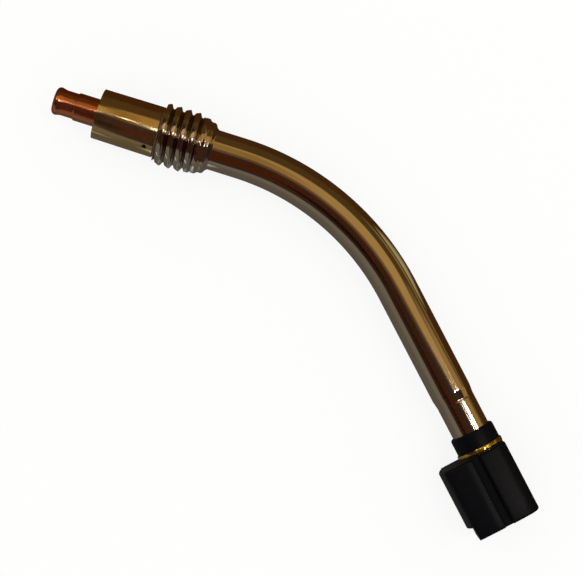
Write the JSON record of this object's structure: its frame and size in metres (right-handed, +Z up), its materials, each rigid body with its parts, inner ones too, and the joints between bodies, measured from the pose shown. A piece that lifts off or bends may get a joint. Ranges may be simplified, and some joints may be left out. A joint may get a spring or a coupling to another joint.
{
  "type": "welding torch swan neck",
  "caption": "Bent MIG torch neck with a contact tip, brass adaptor, coarse nozzle thread, plated jacket tube and a keyed black locating block that fits in the handle.",
  "frame": {"origin": "centre of the cable socket's mouth, on the neck's rear axis in the rear face of the locating block", "axes": "+X along the rear straight towards the tip, the neck bends 45 degrees towards +Y in the XY plane, +Z up with the neck lying flat"},
  "size_m": [0.208, 0.0874, 0.0232],
  "materials": {
    "copper": "drawn and turned copper alloy",
    "turned_brass": "turned, satin",
    "bright_brass": "turned, bright",
    "nickel_plate": "polished nickel plate",
    "fibre": "moulded insulating fibre",
    "ptfe": "smooth white PTFE",
    "black_nylon": "moulded, satin",
    "spring_steel": "plain steel"
  },
  "bodies": {
    "neck": {"inner_head": "turned_brass", "head_insulator": "fibre", "insulating_washer": "fibre", "nozzle_thread_seat": "nickel_plate", "jacket_tube": "nickel_plate", "jacket_insulation": "ptfe", "conductor_tube": "copper", "wire_liner": "spring_steel", "liner_nose": "turned_brass", "liner_nipple": "turned_brass", "rear_insulator": "ptfe", "collar_ring": "black_nylon", "brass_ring": "bright_brass", "locating_block": "black_nylon", "rear_plug": "turned_brass", "spring_washer": "spring_steel", "key_pin": "spring_steel"},
    "adaptor": {"tip_adaptor": "turned_brass"},
    "tip": {"contact_tip": "copper"},
    "nut": {"ring_nut": "turned_brass"}
  },
  "joints": [
    {"name": "adaptor_unscrew", "type": "slide", "parent": "neck", "child": "adaptor", "axis": [0.7071, 0.7071, 0], "range_m": [0, 0.0085]},
    {"name": "tip_unscrew", "type": "slide", "parent": "adaptor", "child": "tip", "axis": [0.7071, 0.7071, 0], "range_m": [0, 0.0095]},
    {"name": "nut_spin", "type": "hinge", "parent": "neck", "child": "nut", "pos_m": [0.003, 0, 0], "axis": [1, 0, 0], "continuous": true}
  ]
}
